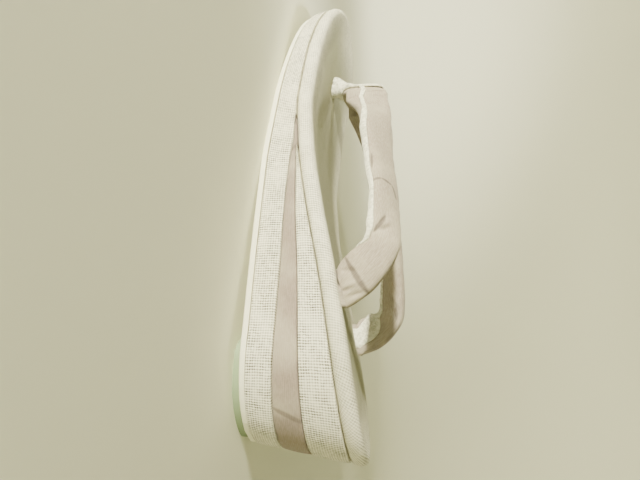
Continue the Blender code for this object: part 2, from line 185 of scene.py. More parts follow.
def gridQuads(rows, columns):
    # quads of a grid whose last column joins its first
    i = np.arange(rows - 1)[:, None] * columns
    j = np.arange(columns)[None, :]
    k = (j + 1) % columns
    return np.stack([i + j, i + k, i + columns + k, i + columns + j], axis=-1).reshape(-1, 4)


def ladderQuads(first, count):
    # rungs across a ring that is the same left and right
    i = np.arange(1, (count - 1) // 2)
    rungs = np.column_stack([i, i + 1, count - i - 1, count - i])
    faces = [tuple(first + rung) for rung in rungs]
    faces.append((first, first + 1, first + count - 1))
    last = (count - 1) // 2
    if count % 2 == 0:
        faces.append((first + last, first + last + 1, first + last + 2))
    return faces


def rungCaps(grid):
    # ladders over a layer's bottom and top
    count = grid.shape[1]
    bottom = [tuple(reversed(face)) for face in ladderQuads(0, count)]
    return bottom + ladderQuads((len(grid) - 1) * count, count)


def endCaps(grid):
    # one face over each end of a tube
    count = grid.shape[1]
    last = (len(grid) - 1) * count
    return [tuple(range(count))[::-1], tuple(range(last, last + count))]


def addMesh(name, grid, gridUv, caps, material, flip):
    # quads of the grid first, then the caps, whose UV is their x and y
    points = grid.reshape(-1, 3)
    quads = gridQuads(*grid.shape[:2])
    faces = [tuple(quad) for quad in quads.tolist()] + [tuple(cap) for cap in caps]
    mesh = bpy.data.meshes.new(name)
    mesh.from_pydata(points.tolist(), [], faces)
    capUv = np.array([points[corner, :2] for cap in caps for corner in cap])
    corners = np.vstack([gridUv.reshape(-1, 2), capUv])
    layer = mesh.uv_layers.new(name="UVMap")
    layer.data.foreach_set("uv", corners.astype(np.float32).ravel())
    if flip:
        mesh.flip_normals()
    mesh.validate()
    mesh.materials.append(material)
    mesh.shade_smooth()
    item = bpy.data.objects.new(name, mesh)
    bpy.context.collection.objects.link(item)
    return item


def cornerUv(u, v):
    # UV at the four corners of each quad; u and v have one column more than the grid
    uv = np.stack(np.broadcast_arrays(u, v), axis=-1)
    return np.stack([uv[:-1, :-1], uv[:-1, 1:], uv[1:, 1:], uv[1:, :-1]], axis=2)


def closeColumn(values):
    return np.hstack([values, values[:, :1]])


def uvColumns(count):
    return np.arange(count + 1)[None, :] * 0.0005  # half a millimetre for each column


# Camera, at the photograph's place beside the shoe and rolled so that the toe is up
view = {
    "place": (-0.13737, 0.18777, 0.06687),
    "target": (-0.0360, 0.0159, 0.0246),
    "up": (0.86277, 0.50556, -0.00641),
    "lens": 27.0,
    "sensor": 36.0,
}


def addCamera():
    place = Vector(view["place"])
    back = (place - Vector(view["target"])).normalized()
    right = Vector(view["up"]).cross(back).normalized()
    up = back.cross(right)
    turn = Matrix((right, up, back)).transposed().to_4x4()
    data = bpy.data.cameras.new("camera")
    data.lens = view["lens"]
    data.sensor_width = view["sensor"]
    data.clip_start = 0.01
    data.clip_end = 20
    camera = bpy.data.objects.new("camera", data)
    bpy.context.collection.objects.link(camera)
    camera.matrix_world = Matrix.Translation(place) @ turn
    bpy.context.scene.camera = camera


addCamera()
print("zori: camera placed")


# Finishes
class Wire:
    # a socket that can be added, multiplied and so on; each operator adds one Math node
    def __init__(self, tree, socket):
        self.tree = tree
        self.socket = socket

    def maths(self, operation, *others):
        node = self.tree.nodes.new("ShaderNodeMath")
        node.operation = operation
        for slot, value in zip(node.inputs, (self, *others)):
            if isinstance(value, Wire):
                self.tree.links.new(value.socket, slot)
            else:
                slot.default_value = value
        return Wire(self.tree, node.outputs[0])

    __add__ = __radd__ = partialmethod(maths, "ADD")
    __mul__ = __rmul__ = partialmethod(maths, "MULTIPLY")
    __sub__ = partialmethod(maths, "SUBTRACT")
    __pow__ = partialmethod(maths, "POWER")
    __abs__ = partialmethod(maths, "ABSOLUTE")
    sine = partialmethod(maths, "SINE")
    floor = partialmethod(maths, "FLOOR")
    root = partialmethod(maths, "SQRT")
    least = partialmethod(maths, "MINIMUM")
    most = partialmethod(maths, "MAXIMUM")

    def __rsub__(self, other):
        return self.maths("MULTIPLY_ADD", -1.0, other)

    def between(self, low, high):
        # 0 below low, 1 above high, with an eased climb
        node = self.tree.nodes.new("ShaderNodeMapRange")
        node.interpolation_type = "SMOOTHSTEP"
        self.tree.links.new(self.socket, node.inputs["Value"])
        node.inputs["From Min"].default_value = low
        node.inputs["From Max"].default_value = high
        return Wire(self.tree, node.outputs["Result"])


class Finish:
    # one material: its shader, and the nodes and masks that feed it
    def __init__(self, name, roughness, **constants):
        self.material = bpy.data.materials.new(name)
        self.material.use_nodes = True
        self.tree = self.material.node_tree
        self.shader = self.tree.nodes["Principled BSDF"]
        self.shader.inputs["Roughness"].default_value = roughness
        for socket, value in constants.items():
            self.shader.inputs[socket.replace("_", " ")].default_value = value

    def node(self, kind, settings, inputs, output=0):
        made = self.tree.nodes.new(kind)
        for name, value in settings.items():
            setattr(made, name, value)
        for name, value in inputs.items():
            if isinstance(value, Wire):
                self.tree.links.new(value.socket, made.inputs[name])
            else:
                made.inputs[name].default_value = value
        return Wire(self.tree, made.outputs[output])

    def uv(self):
        place = self.node("ShaderNodeTexCoord", {}, {}, "UV")
        return place, self.part(place, "X"), self.part(place, "Y")

    def part(self, place, axis):
        return self.node("ShaderNodeSeparateXYZ", {}, {"Vector": place}, axis)

    def spot(self):
        return self.node("ShaderNodeTexCoord", {}, {}, "Object")

    def noise(self, place, scale, detail=2.0):
        return self.node(
            "ShaderNodeTexNoise", {}, {"Vector": place, "Scale": scale, "Detail": detail}, "Fac",
        )

    def pair(self, u, v):
        return self.node("ShaderNodeCombineXYZ", {}, {"X": u, "Y": v})

    def blend(self, factor, first, second):
        # colour blend; first and second are colours or colour wires
        settings = {"data_type": "RGBA"}
        return self.node("ShaderNodeMix", settings, {0: factor, 6: first, 7: second}, 2)

    def paint(self, colour):
        self.tree.links.new(colour.socket, self.shader.inputs["Base Color"])

    def relief(self, height, distance, strength=1.0):
        inputs = {"Height": height, "Distance": distance, "Strength": strength}
        bump = self.node("ShaderNodeBump", {}, inputs)
        self.tree.links.new(bump.socket, self.shader.inputs["Normal"])

    def stroke(self, u, v, start, end, halfWidth, soft):
        # mask round a line between two UV places: 1 within a half width that follows a
        # sine from end to end, falling to 0 over the soft edge
        spanU, spanV = end[0] - start[0], end[1] - start[1]
        span = spanU ** 2 + spanV ** 2
        fromU, fromV = u - start[0], v - start[1]
        t = ((fromU * spanU + fromV * spanV) * (1 / span)).most(0.0).least(1.0)
        offU, offV = fromU - t * spanU, fromV - t * spanV
        distance = (offU * offU + offV * offV).root()
        reach = (t * math.pi).sine() ** 0.5 * halfWidth
        return 1 - (distance - reach).between(-soft, soft)


def screen(red, green, blue):
    # linear colour of a value from 0 to 255 as a screen shows it
    shares = np.array((red, green, blue)) / 255
    linear = np.where(shares < 0.04045, shares / 12.92, ((shares + 0.055) / 1.055) ** 2.4)
    return (*[float(value) for value in linear], 1.0)


weave = {
    "warpPitch": 0.00100,
    "weftPitch": 0.00097,
    "light": screen(252, 250, 234),
    "dark": screen(38, 32, 16),
    "shade": screen(224, 219, 190),
    "worn": screen(232, 224, 190),
    # grey of the painted shade over the middle of the foot board
    "paintedShade": screen(150, 150, 122),
    "paintedShadeSide": (0.018, 0.040),  # the painted shade fades between these, out from the middle line
    "paintedShadeEnd": (0.085, 0.118),
    "gapShape": (1.3, 0.45),  # powers of the two sines whose product is a gap
    "gapRange": (0.10, 0.36),
    "depth": 0.00030,
    "drift": 0.0011,  # how far the threads wander
    "slant": 0.004,
}


def wovenFinish(name, contrast, middleShade):
    # bold threads cross, and a dark gap shows at each crossing: sines of both thread
    # counts give the gaps, longer up the wall, and a random number per cell and a slow
    # noise make some of them fade; the last argument paints shade over the board's middle
    finish = Finish(name, 0.86, Specular_IOR_Level=0.25)
    place, u, v = finish.uv()
    wander = finish.noise(place, 45.0) + 0.5 * finish.noise(place, 170.0)
    drift = (wander - 0.75) * weave["drift"]
    slant = (finish.noise(place, 11.0) - 0.5) * weave["slant"]
    across = (u + drift + slant) * (1 / weave["warpPitch"])
    along = (v - drift + slant) * (1 / weave["weftPitch"])
    warp = (across * (2 * math.pi)).sine() * 0.5 + 0.5
    weft = (along * (2 * math.pi)).sine() * 0.5 + 0.5
    cell = finish.pair((across - 0.25).floor(), (along - 0.25).floor())
    thread = finish.node(
        "ShaderNodeTexWhiteNoise", {"noise_dimensions": "2D"}, {"Vector": cell}, "Value",
    )
    patch = finish.noise(place, 130.0, 2.0).between(0.35, 0.62)
    warpPower, weftPower = weave["gapShape"]
    gap = (warp ** warpPower * weft ** weftPower).between(*weave["gapRange"])
    gap = gap * (0.30 + 0.70 * thread) * (0.60 + 0.40 * patch)
    rib = (weft * 0.6 + warp * 0.4).between(0.1, 0.9)
    colour = finish.blend(rib * 0.45, weave["light"], weave["shade"])
    colour = finish.blend(gap * contrast, colour, weave["dark"])
    spot = finish.spot()
    worn = finish.noise(spot, 26.0, 3.0)
    colour = finish.blend((worn - 0.45).most(0.0) * 0.6, colour, weave["worn"])
    # painted shade: grey over the middle of the foot board, fading out towards its edges and ends
    if middleShade:
        x, y = abs(finish.part(spot, "X")), abs(finish.part(spot, "Y"))
        inside = (1 - y.between(*weave["paintedShadeSide"])) * (1 - x.between(*weave["paintedShadeEnd"]))
        colour = finish.blend(inside * middleShade, colour, weave["paintedShade"])
    finish.paint(colour)
    finish.relief(1 - gap + 0.3 * rib, weave["depth"], 0.8)
    return finish.material


crepe = {
    "base": screen(178, 168, 155),
    "thread": screen(128, 116, 105),
    # colour of the dark strokes: marks, and painted shadow in folds of the crepe
    "markAndFoldShade": screen(86, 76, 72),
    "pale": screen(206, 199, 178),
    "band": screen(156, 143, 134),
    "ribPitch": 0.00072,
    "wander": 0.0012,
    "slub": (420.0, 2200.0),  # scale of the noise along and across the cloth
    "cross": (2300.0, 900.0),
    "streakRange": (0.36, 0.62),
    "depth": 0.00018,
}


def crepeFinish(name, base, marks):
    # fine ribs along u with slubs: noise stretched along the cloth breaks up a sine across
    # it, a second noise adds short cross threads, and marks are strokes on the UV map; some
    # of the marks are painted shadow along folds
    finish = Finish(name, 0.80, Specular_IOR_Level=0.25, Sheen_Weight=0.12)
    place, u, v = finish.uv()
    wander = finish.noise(finish.pair(u * 60.0, v * 300.0), 1.0, 1.0)
    wander = (wander - 0.5) * crepe["wander"]
    ribs = ((v + wander) * (2 * math.pi / crepe["ribPitch"])).sine() * 0.5 + 0.5
    slubU, slubV = crepe["slub"]
    crossU, crossV = crepe["cross"]
    slub = finish.noise(finish.pair(u * slubU, v * slubV), 1.0, 4.0)
    cross = finish.noise(finish.pair(u * crossU, v * crossV), 1.0, 3.0)
    streak = (0.64 * slub + 0.26 * cross + 0.10 * ribs).between(*crepe["streakRange"])
    colour = finish.blend(streak * 0.58, base, crepe["thread"])
    cloud = finish.noise(finish.spot(), 55.0, 3.0).between(0.42, 0.68)
    colour = finish.blend(cloud * 0.35, colour, crepe["pale"])
    # dark strokes, some of them painted shadow in folds
    for start, end, halfWidth, soft, strength in marks:
        mask = finish.stroke(u, v, start, end, halfWidth, soft)
        broken = mask * (0.7 + 0.3 * slub)
        colour = finish.blend(broken * strength, colour, crepe["markAndFoldShade"])
    finish.paint(colour)
    finish.relief(0.65 * slub + 0.1 * ribs + 0.25 * cross, crepe["depth"], 0.7)
    return finish.material


velvet = {
    # roots between the tufts: painted shade
    "root": screen(190, 190, 172),
    "tip": screen(248, 247, 230),
    "tuft": 900.0,  # scales of the two noises
    "clump": 260.0,
    "depth": 0.0006,
}


def velvetFinish(name):
    # short pile: two sizes of noise lift the tufts, and the roots between them are darkened with
    # painted shade
    finish = Finish(name, 0.95, Specular_IOR_Level=0.1, Sheen_Weight=0.5, Sheen_Roughness=0.4)
    spot = finish.spot()
    tuft = finish.noise(spot, velvet["tuft"], 3.0)
    clump = finish.noise(spot, velvet["clump"], 2.0)
    height = 0.6 * tuft + 0.4 * clump
    # painted shade: the roots between the tufts are darker
    finish.paint(finish.blend(height.between(0.3, 0.6), velvet["root"], velvet["tip"]))
    finish.relief(height, velvet["depth"], 0.9)
    return finish.material


rubber = {
    # colour, stain, roughness, scale of the pebble
    "outsoleRubber": (screen(253, 252, 232), screen(240, 236, 204), 0.45, 900.0),
    "liftRubber": (screen(150, 168, 136), screen(132, 150, 120), 0.55, 1400.0),
}


def rubberFinish(name):
    # moulded rubber: fine pebble in the relief and a faint uneven tint
    colour, stain, roughness, grain = rubber[name]
    finish = Finish(name, roughness, Specular_IOR_Level=0.4)
    spot = finish.spot()
    pebble = finish.noise(spot, grain, 2.0)
    tint = finish.noise(spot, 22.0, 3.0).between(0.4, 0.75)
    finish.paint(finish.blend(tint * 0.35, colour, stain))
    finish.relief(pebble, 0.00012, 0.5)
    return finish.material


# Dark strokes on the crepe, in metres on the UV map; some are painted shadow in folds
bandMarks = (
    # start, end, half width, soft edge, strength
    ((0.0266, 0.0048), (0.0206, 0.0185), 0.0010, 0.0005, 0.60),
    ((0.1290, 0.0045), (0.1350, 0.0085), 0.0005, 0.0004, 0.60),
)
strapMarksAndFoldShade = (
    ((0.0697, 0.0182), (0.0592, 0.0186), 0.0005, 0.0003, 0.80),
    ((0.0499, 0.0196), (0.0535, 0.0148), 0.0007, 0.0004, 0.75),
    ((0.0535, 0.0148), (0.0545, 0.0087), 0.0008, 0.0004, 0.85),
    ((0.0545, 0.0087), (0.0479, 0.0055), 0.0008, 0.0004, 0.80),
    # painted shadow in a narrow fold, along the crease trough at the same place
    ((0.0236, 0.0144), (0.0332, 0.0113), 0.0009, 0.0004, 0.90),
    ((0.0074, 0.0185), (0.0076, 0.0005), 0.0010, 0.0005, 0.85),
    ((0.2640, 0.0352), (0.2690, 0.0370), 0.0010, 0.0006, 0.55),
    ((0.1345, 0.0110), (0.1385, 0.0024), 0.0003, 0.0003, 0.55),
)
wovenWall = wovenFinish("wovenWall", 1.0, 0.0)
# the top cloth carries painted shade over the middle of the foot board
wovenTop = wovenFinish("wovenTop", 0.62, 0.80)
mauveBand = crepeFinish("mauveBand", crepe["band"], bandMarks)
strapCrepe = crepeFinish("strapCrepe", crepe["base"], strapMarksAndFoldShade)
velvetWhite = velvetFinish("velvetWhite")
print("zori: finishes made")

for nodeName, finishName in (("outsole", "outsoleRubber"), ("heel_lift", "liftRubber")):
    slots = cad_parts[nodeName].data.materials
    slots.clear()
    slots.append(rubberFinish(finishName))

# The three cloth-covered layers under the foot board
wall = {
    "sideSteps": 130,
    "rollSteps": 5,
    "wallSteps": 8,
    "roll": 0.0007,  # round where the cloth turns over an edge
    "belly": 0.00018,  # how far the cloth stands out half way up
    "inner": 0.0050,  # how far in the rungs across the faces start
    "cut": 0.99,  # share of a wedge's length at which its thin end is cut
}


def sectionProfile(belly, rollSteps, wallSteps, inner):
    # from inside the bottom face round the wall to inside the top face: pull inwards as a
    # share of the round and in metres, then shares of the lower round, the wall and the
    # upper round that have been climbed
    angle = np.linspace(0, math.pi / 2, rollSteps + 1)
    up = np.linspace(0, 1, wallSteps + 1)[1:]
    turned = np.concatenate([
        [1], 1 - np.sin(angle), np.zeros(wallSteps), 1 - np.cos(angle[1:]), [1],
    ])
    bulge = -4 * belly * up * (1 - up)
    pull = np.concatenate([
        [inner], np.zeros(rollSteps + 1), bulge, np.zeros(rollSteps), [inner],
    ])
    lower = np.concatenate([[0], 1 - np.cos(angle), np.ones(wallSteps + rollSteps + 1)])
    middle = np.concatenate([np.zeros(rollSteps + 2), up, np.ones(rollSteps + 1)])
    upper = np.concatenate([np.zeros(rollSteps + 2 + wallSteps), np.sin(angle[1:]), [1]])
    return [column[:, None] for column in (turned, pull, lower, middle, upper)]


def layerRings(end, bottom, top, inset, size):
    # rings of a layer: the outline moved in along its normals by the inset, the pull and
    # the taper, at heights between the layer's two faces
    ring, normal = outlineRing(size["sideSteps"], end)
    turned, pull, lower, middle, upper = sectionProfile(
        size["belly"], size["rollSteps"], size["wallSteps"], size["inner"],
    )
    x = np.broadcast_to(ring[:, 0], (len(pull), len(ring)))
    for _ in range(2):
        along = np.clip(shareAt(x), 0, 1)
        low, high = bottom(along), top(along)
        roll = np.minimum(size["roll"], 0.45 * (high - low))
        z = low + roll * (lower + upper) + (high - low - 2 * roll) * middle
        seam = seamHeight(along)
        draw = np.clip((seam - z) / (seam - soleBottom(along)), 0, 1)
        taper = sole["sideTaper"] + (sole["endTaper"] - sole["sideTaper"]) * normal[:, 0] ** 2
        moved = inset + turned * roll + pull + draw * taper
        x = ring[:, 0] - normal[:, 0] * moved
    y = ring[:, 1] - normal[:, 1] * moved
    return np.stack([x, y, z], axis=-1), ring, normal


def wallUv(points, ring):
    # u runs round the outline from the heel, v up the section
    step = np.linalg.norm(np.diff(np.vstack([ring, ring[:1]]), axis=0), axis=1)
    u = np.concatenate([[0], np.cumsum(step)])
    climb = np.linalg.norm(np.diff(points, axis=0), axis=2)
    v = np.vstack([np.zeros(len(ring)), np.cumsum(climb, axis=0)])
    return u, closeColumn(v)


def layerShell(name, node, end, bottom, top, material):
    points, ring, _ = layerRings(end, bottom, top, sole["wallInset"], wall)
    uv = cornerUv(*wallUv(points, ring))
    item = addMesh(name, points, uv, rungCaps(points), material, True)
    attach(item, "root")
    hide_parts(node)


layerShell("lowerBoard", "lower_layer", 1.0, lowerBottom, lowerTop, wovenWall)
bandCut = wall["cut"] * sole["bandEnd"]
layerShell("mauveWedge", "band_layer", bandCut, bandBottom, bandTop, mauveBand)
wedgeCut = wall["cut"] * sole["wedgeEnd"]
layerShell("wovenWedge", "wedge_layer", wedgeCut, wedgeBottom, seamHeight, wovenWall)
print("zori: wall layers made")

# The padded foot board, one cloth drawn over its edge, dished and dimpled at the holes
board = {
    "sideSteps": 150,
    "rollSteps": 8,
    "wallSteps": 2,
    "roll": 0.0031,
    "belly": 0.00010,
    "inner": 0.0050,
    "dish": 0.0008,
    "rim": 0.0150,  # from the edge to the bottom of the dish
    "rimSteps": 12,
    "innerSteps": 22,
    "innerClose": 0.96,  # how near the last ring is to the middle line
    "lineShare": 0.74,  # length of the middle line that the rings close on
    "thongDimple": 0.0018,
    "strapDimple": 0.0005,
    "dimpleReach": 0.0090,
}

# The padded strap: its middle line from a rear hole to the toe turn, and its sections
strap = {
    "width": 0.0185,
    "thickness": 0.0074,
    "height": 0.0270,
    "inset": 0.0085,  # from the sole's side at the ball in to its bend
    "tipTurn": 0.0044,
    "tipRise": 0.620,
    "tipWidth": 1.270,
    "tipThickness": 0.870,
    "tipPlace": 0.7575,
    "power": 2.6,
    "armSteps": 150,
    "turnSteps": 16,
    "around": 84,
    "rootDepth": 0.80,  # share of the foot board that the ends go down
    "rootRun": 0.005,  # cloth between the first ring and its copy in the hole
    "joinStart": 0.75,  # share of an arm from which both arms ease into one
}
# Thirteen stations from the rear hole: place along the sole, then shares of the spread and
# the height, the edge's swing, shares of the width and thickness, and the lean
strapLine = {
    "along": (
        0.233, 0.241, 0.256, 0.275, 0.298, 0.326, 0.361, 0.435, 0.521, 0.610, 0.667, 0.700, 0.733,
    ),
    "out": (0.87, 0.90, 0.96, 1.01, 1.03, 1.00, 0.95, 0.79, 0.61, 0.44, 0.325, 0.245, 0.175),
    "rise": (0.04, 0.135, 0.325, 0.50, 0.67, 0.765, 0.84, 0.96, 1.00, 0.98, 0.91, 0.83, 0.72),
    "swing": (166, 158, 146, 136, 122, 105, 94, 90, 90, 90, 90, 90, 90),
    "width": (0.81, 0.88, 0.92, 0.90, 0.85, 0.85, 0.87, 0.88, 0.90, 0.94, 1.02, 1.10, 1.20),
    "thickness": (0.84, 0.92, 1.00, 1.00, 1.00, 1.00, 1.00, 1.00, 1.00, 0.97, 0.95, 0.92, 0.88),
    "lean": (0, 0, 2, 5, 14, 30, 44, 52, 52, 44, 32, 18, 5),
}
thong = {
    "length": 0.0140,
    "width": 0.0092,
    "wrap": 0.0016,  # cloth round the strap's toe turn
    "cover": 0.93,  # share of the turn's height that it covers
    "levels": 60,
    "around": 72,
    "closing": 0.09,  # share of the wrap's upper half in which its top rounds off
    "leastBulge": 0.08,
    "strandGap": 0.30,  # how deep the groove between the two strands is
    "strandWidth": 0.0016,
    "strandSet": 0.001,
    "strandFade": (0.12, 0.34),
    "uvHeight": 0.03,
}
# From the toe hole up, by shares of the strap's height: how far the thong reaches out, as a
# share of its length, and half the angle it covers
thongLine = {
    "rise": (0, 0.075, 0.16, 0.26, 0.36, 0.48, 0.70, 0.90, 0.99),
    "reach": (0.80, 0.68, 0.50, 0.32, 0.19, 0.11, 0.09, 0.09, 0.09),
    "angle": (22, 27, 33, 42, 50, 53, 52, 51, 50),
}


def thongHoleX():
    front = sole["length"] * strap["tipPlace"] + strap["tipTurn"] + sole["fitGap"]
    front = front + strap["tipThickness"] * strap["thickness"] / 2
    return front + thongLine["reach"][0] * thong["length"] - (thong["length"] + sole["length"]) / 2


def strapSpread():
    return sole["ballWidth"] / 2 - strap["inset"]


def tipHeight():
    return float(soleTop(strap["tipPlace"])) + strap["tipRise"] * strap["height"]


def strapHolePlace():
    return placeAt(strapLine["along"][0]), strapLine["out"][0] * strapSpread()


def footSurface(x, dip):
    # height of the cloth under the foot: the sole's top line, less the dish
    return soleTop(np.clip(shareAt(x), 0, 1)) - board["dish"] * dip


def pressDown(grid):
    # a bell curve round each hole pushes the cloth down, all the way on top and less down
    # the wall
    x, y, z = grid[..., 0], grid[..., 1], grid[..., 2]
    along = np.clip(shareAt(x), 0, 1)
    climb = np.clip((z - topBottom(along)) / sole["topThickness"], 0, 1) ** 1.5
    holeX, holeY = strapHolePlace()
    reach = board["dimpleReach"]
    toe = np.exp(-((x - thongHoleX()) ** 2 + y ** 2) / reach ** 2)
    rear = np.exp(-((x - holeX) ** 2 + (np.abs(y) - holeY) ** 2) / reach ** 2)
    pressed = grid.copy()
    pressed[..., 2] = z - climb * (board["thongDimple"] * toe + board["strapDimple"] * rear)
    return pressed


def footBoard():
    # wall and rounds as for the layers, then rings drawn in over the dish, then rings that
    # close on a line along the middle
    points, ring, normal = layerRings(1.0, topBottom, soleTop, 0.0, board)
    points = points[:-1]
    pull = np.linspace(board["roll"], board["rim"], board["rimSteps"] + 1)[1:, None]
    rimX = ring[:, 0] - normal[:, 0] * pull
    rimY = ring[:, 1] - normal[:, 1] * pull
    dip = smoothStep(board["roll"] * 0.9, board["rim"], pull)
    rim = np.stack([rimX, rimY, footSurface(rimX, dip)], axis=-1)
    close = np.linspace(0, board["innerClose"], board["innerSteps"] + 1)[1:, None]
    innerX = rimX[-1] * (1 - (1 - board["lineShare"]) * close)
    innerY = rimY[-1] * (1 - close)
    inner = np.stack([innerX, innerY, footSurface(innerX, 1.0)], axis=-1)
    grid = pressDown(np.concatenate([points, rim, inner]))
    # the cloth lies flat on top and runs on straight over the edge
    climb = np.linalg.norm(np.diff(points, axis=0), axis=2)
    over = np.vstack([np.cumsum(climb[::-1], axis=0)[::-1], np.zeros(len(ring))])
    edge = ring - normal * board["roll"]
    flatX = np.vstack([edge[:, 0] + normal[:, 0] * over, rim[:, :, 0], inner[:, :, 0]])
    flatY = np.vstack([edge[:, 1] + normal[:, 1] * over, rim[:, :, 1], inner[:, :, 1]])
    uv = cornerUv(closeColumn(flatX), closeColumn(flatY))
    return addMesh("footBoard", grid, uv, rungCaps(grid), wovenTop, True)


def unit(vectors):
    return vectors / np.linalg.norm(vectors, axis=-1, keepdims=True)


def strapPath():
    # the left arm's middle line from the tables, then a quarter turn about the toe line;
    # its mirror image beyond the toe only gives the directions there
    rows = np.arange(len(strapLine["along"]))
    place = np.linspace(0, len(rows) - 1, strap["armSteps"] + 1)
    line = {name: smoothCurve(rows, strapLine[name], place) for name in strapLine}
    x = placeAt(line["along"])
    y = line["out"] * strapSpread()
    z = soleTop(line["along"]) + line["rise"] * strap["height"]
    width = line["width"] * strap["width"]
    thickness = line["thickness"] * strap["thickness"]
    share = np.linspace(0, 1, strap["turnSteps"] + 1)[1:]
    turn = 0.5 * math.pi * share
    ease = share * (2 - share)

    def easeTo(values, target):
        return np.append(values, values[-1] + (target - values[-1]) * ease)

    x = np.append(x, placeAt(strap["tipPlace"]) + strap["tipTurn"] * np.sin(turn))
    y = np.append(y, strap["tipTurn"] * np.cos(turn))
    z = easeTo(z, tipHeight())
    width = easeTo(width, strap["tipWidth"] * strap["width"])
    thickness = easeTo(thickness, strap["tipThickness"] * strap["thickness"])
    swing = np.append(np.radians(line["swing"]), np.full(len(turn), math.radians(90)))
    lean = np.append(np.radians(line["lean"]), math.radians(line["lean"][-1]) * (1 - ease))
    facing = np.append(np.zeros(len(place)), turn)
    half = np.column_stack([x, y, z])
    outward = np.column_stack([np.sin(facing), np.cos(facing), np.zeros(len(x))])
    whole = np.vstack([half, mirrorRows(half)[-2::-1]])
    forward = unit(np.gradient(whole, axis=0))[:len(half)]
    forward[0] = (0, 0, 1)
    outward = unit(outward - forward * np.sum(outward * forward, axis=1)[:, None])
    upward = np.column_stack([np.cos(swing), np.zeros(len(x)), np.sin(swing)])
    upward = unit(upward - outward * np.sum(upward * outward, axis=1)[:, None])
    cosLean, sinLean = np.cos(lean)[:, None], np.sin(lean)[:, None]
    run = np.append(0, np.cumsum(np.linalg.norm(np.diff(half, axis=0), axis=1)))
    return {
        "place": half,
        "face": outward * cosLean + upward * sinLean,
        "edge": upward * cosLean - outward * sinLean,
        "width": width,
        "thickness": thickness,
        "run": run,
    }


def signedPower(values, power):
    return np.sign(values) * np.abs(values) ** power


def sectionAngles():
    # angle of a superellipse at each share of its length round, for the mean section
    angle = np.linspace(0, 2 * math.pi, 2001)
    power = 2 / strap["power"]
    across = signedPower(np.cos(angle), power) * strap["width"] * 0.45
    through = signedPower(np.sin(angle), power) * strap["thickness"] * 0.5
    step = np.hypot(np.diff(across), np.diff(through))
    length = np.append(0, np.cumsum(step))
    return length / length[-1], angle, float(length[-1])


sectionShares, sectionTurns, sectionGirth = sectionAngles()


def strapSurface(path, rows, share, lift):
    # points on the strap's skin: section rows down, shares round the section across from
    # its upper edge over the outer face, moved out along the section's normal by the lift
    angle = np.interp(share % 1, sectionShares, sectionTurns)
    power = 2 / strap["power"]
    across = signedPower(np.cos(angle), power)
    through = signedPower(np.sin(angle), power)
    halfWide = (path["width"][rows] / 2)[:, None]
    halfThick = (path["thickness"][rows] / 2)[:, None]
    gradient = strap["power"] - 1
    normalAcross = signedPower(across, gradient) / halfWide
    normalThrough = signedPower(through, gradient) / halfThick
    size = np.hypot(normalAcross, normalThrough)
    alongEdge = across * halfWide + lift * normalAcross / size
    alongFace = through * halfThick + lift * normalThrough / size
    place, edge, face = (path[name][rows][:, None, :] for name in ("place", "edge", "face"))
    return place + alongEdge[..., None] * edge + alongFace[..., None] * face


# What differs between the arms: the seed of their unevenness, and how much of the trim of
# the velvet on the foot side they take
arms = {
    "left": {"seed": 0.4, "trim": 0},
    "right": {"seed": 2.6, "trim": 1},
}

# Soft unevenness of the crepe
cloth = {
    "gather": 0.00020,  # folds round each rear hole
    "gatherCount": 7,
    "gatherReach": 0.009,
    "ripple": 0.00014,
    "waves": ((0.0130, 0.0210), (0.0083, -0.0125), (0.0195, 0.0088)),  # lengths along, across
}

# Velvet along the strap's lower edge: metres along an arm, then shares round the section
# where the velvet starts on the cloth side and ends on the foot side, how much less of the
# foot side it covers where it is trimmed, and how rough it is
lining = {
    "run": (0, 0.008, 0.017, 0.024, 0.032, 0.045, 0.065, 0.092, 0.108, 0.121, 0.130, 0.137, 0.145),
    "outer": (
        0.62, 0.58, 0.42, 0.375, 0.408, 0.450, 0.482, 0.450, 0.398, 0.334, 0.286, 0.262, 0.245,
    ),
    "inner": (0.88, 0.84, 0.70, 0.66, 0.63, 0.62, 0.62, 0.560, 0.456, 0.378, 0.324, 0.308, 0.295),
    "trim": (0, 0, 0.02, 0.05, 0.06, 0.05, 0.03, 0, 0, 0, 0, 0, 0),
    "rough": (1, 1, 0.60, 0.40, 0.22, 0.18, 0.15, 0.15, 0.15, 0.15, 0.15, 0.15, 0.15),
    "steps": 48,
    "finer": 3,  # rows of the strip for each row of the strap
    "pile": 0.0005,  # least height of the velvet over the crepe
    "bed": 0.0006,  # how deep the crepe is pressed in under it
    "back": 0.0005,
    "hem": 0.012,  # share round the section over which the bed starts
    "tuft": 0.0011,
}

